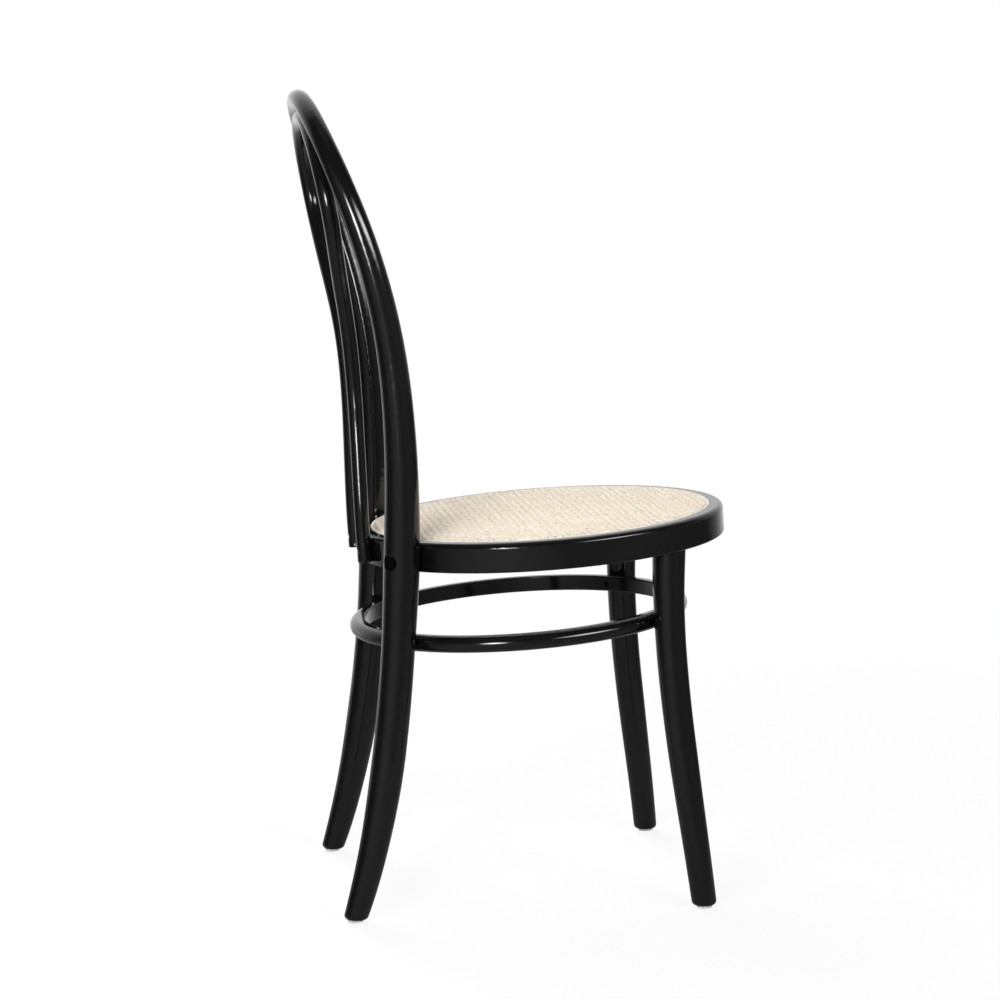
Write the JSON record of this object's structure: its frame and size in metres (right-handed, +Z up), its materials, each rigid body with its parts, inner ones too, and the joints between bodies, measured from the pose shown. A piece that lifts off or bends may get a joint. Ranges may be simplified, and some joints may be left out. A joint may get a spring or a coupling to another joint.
{
  "type": "dining chair",
  "caption": "Bentwood dining chair with a round cane seat, an arched hoop back that runs down into the rear legs, a nested inner bow, and a stretcher ring inside the legs.",
  "frame": {"origin": "on the floor, below the middle of the whole chair's box", "axes": "+Z up, -Y the way a seated person faces, +X to the seated person's left"},
  "size_m": [0.442, 0.513, 0.9595],
  "materials": {
    "lacquered_wood": "black satin-gloss lacquer over bent beech",
    "cane": "natural woven cane, unvarnished",
    "reed_spline": "pale reed",
    "glide_plastic": "translucent white polyethylene",
    "blackened_steel": "black-coated steel",
    "zinc_steel": "zinc-plated steel"
  },
  "bodies": {
    "root": {"back_hoop": "lacquered_wood", "bow_foot_screws": "blackened_steel", "bow_top_screws": "blackened_steel", "cane_panel": "cane", "cane_spline": "reed_spline", "front_leg_left": "lacquered_wood", "front_leg_right": "lacquered_wood", "glide_front_left": "glide_plastic", "glide_front_right": "glide_plastic", "glide_nails": "zinc_steel", "glide_rear_left": "glide_plastic", "glide_rear_right": "glide_plastic", "inner_bow": "lacquered_wood", "leg_ring": "lacquered_wood", "leg_ring_screws": "blackened_steel", "seat_bolt_nuts": "zinc_steel", "seat_bolt_washers": "zinc_steel", "seat_bolts": "blackened_steel", "seat_ring": "lacquered_wood"}
  },
  "joints": []
}
